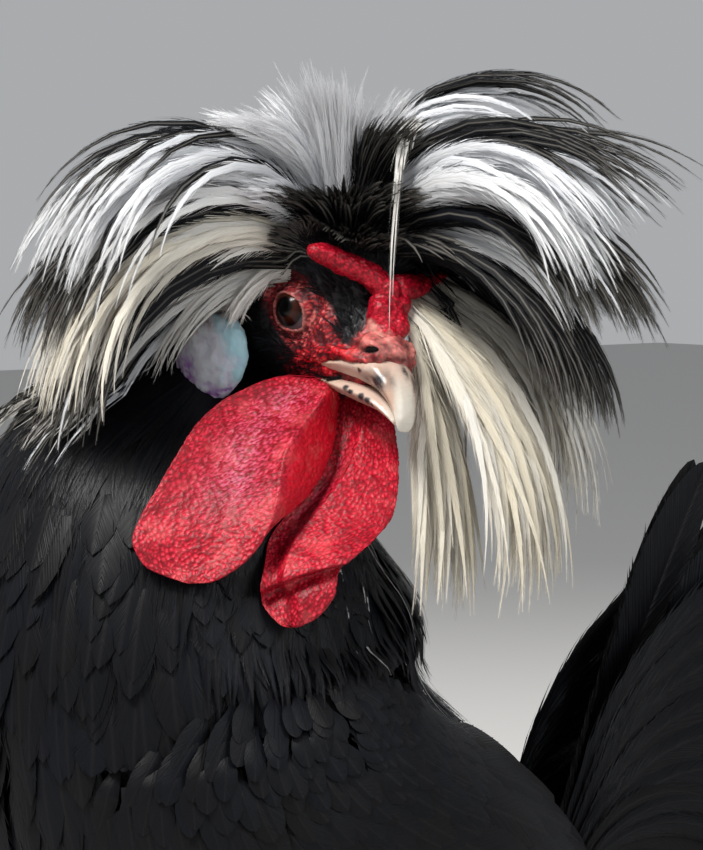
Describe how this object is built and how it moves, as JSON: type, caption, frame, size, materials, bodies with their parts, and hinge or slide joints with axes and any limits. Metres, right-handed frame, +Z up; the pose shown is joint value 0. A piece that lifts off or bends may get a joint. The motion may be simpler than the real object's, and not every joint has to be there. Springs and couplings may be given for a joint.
{
  "type": "polish crested cock, standing",
  "caption": "Life-size still model of a standing polish crested cock, its head turned to its left, with a black and white crest.",
  "frame": {"origin": "centre of the bounding box on the floor, under the feet", "axes": "+Z up; the trunk faces -Y and the bird's left side is +X"},
  "size_m": [0.219, 0.4238, 0.4819],
  "materials": {
    "crest_feathers": "soft loose plumes, white with black ones between them, cream where shaded",
    "hackle_feathers": "glossy black hackle with a few fine white streaks",
    "body_plumage": "soft black plumage with a faint blue sheen",
    "flight_feathers": "firm glossy black vanes with a green-blue sheen",
    "comb_red": "finely wrinkled and pebbled red skin, half gloss",
    "face_skin": "bare red skin with fine dark bristles",
    "earlobe_white": "smooth bluish white skin, lilac at its lower edge",
    "beak_horn": "satin horn, pale with grey-brown marks",
    "claw_horn": "satin horn",
    "leg_scales": "slate-blue scutes, satin",
    "eye": "wet gloss, dark red-brown iris"
  },
  "bodies": {
    "root": {"head": "face_skin", "beak_upper": "beak_horn", "beak_lower": "beak_horn", "comb": "comb_red", "eye_left": "eye", "earlobe_left": "earlobe_white", "eye_right": "eye", "earlobe_right": "earlobe_white", "crest_left": "crest_feathers", "crest_right": "crest_feathers", "wattle_right": "comb_red", "wattle_left": "comb_red", "neck": "hackle_feathers", "torso": "body_plumage", "saddle": "flight_feathers", "tail": "flight_feathers", "wing_left": "flight_feathers", "sickles_left": "flight_feathers", "thigh_left": "body_plumage", "shank_left": "leg_scales", "foot_left": "leg_scales", "spur_left": "claw_horn", "claw_left_inner": "claw_horn", "claw_left_middle": "claw_horn", "claw_left_outer": "claw_horn", "claw_left_hind": "claw_horn", "wing_right": "flight_feathers", "sickles_right": "flight_feathers", "thigh_right": "body_plumage", "shank_right": "leg_scales", "foot_right": "leg_scales", "spur_right": "claw_horn", "claw_right_inner": "claw_horn", "claw_right_middle": "claw_horn", "claw_right_outer": "claw_horn", "claw_right_hind": "claw_horn"}
  },
  "joints": []
}
